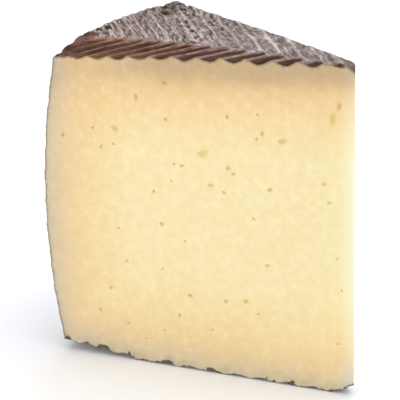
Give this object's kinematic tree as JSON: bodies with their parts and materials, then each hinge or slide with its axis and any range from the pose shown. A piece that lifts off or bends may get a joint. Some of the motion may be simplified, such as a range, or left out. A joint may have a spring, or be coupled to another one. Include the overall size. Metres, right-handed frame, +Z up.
{
  "type": "aged mixed milk cheese wedge",
  "caption": "Wedge of aged mixed milk cheese cut from a small wheel, standing on its base, with pale paste, small eyes and a dark rind printed like wheat ears.",
  "frame": {"origin": "middle of the bottom face of the wedge's bounding box, on the surface it rests on", "axes": "+Z up along the wheel's axis; the front cut face lies along X and faces -Y, with the narrow blunt tip at +X and the rind's heel at -X"},
  "size_m": [0.0996, 0.057, 0.1054],
  "materials": {
    "paste": "pale yellow cheese paste, satin, a little waxy, deeper near the rind",
    "rind": "dry natural rind, matt, brown hollows with grey and whitish crests"
  },
  "bodies": {
    "root": {"cheese_wedge": "paste"}
  },
  "joints": []
}
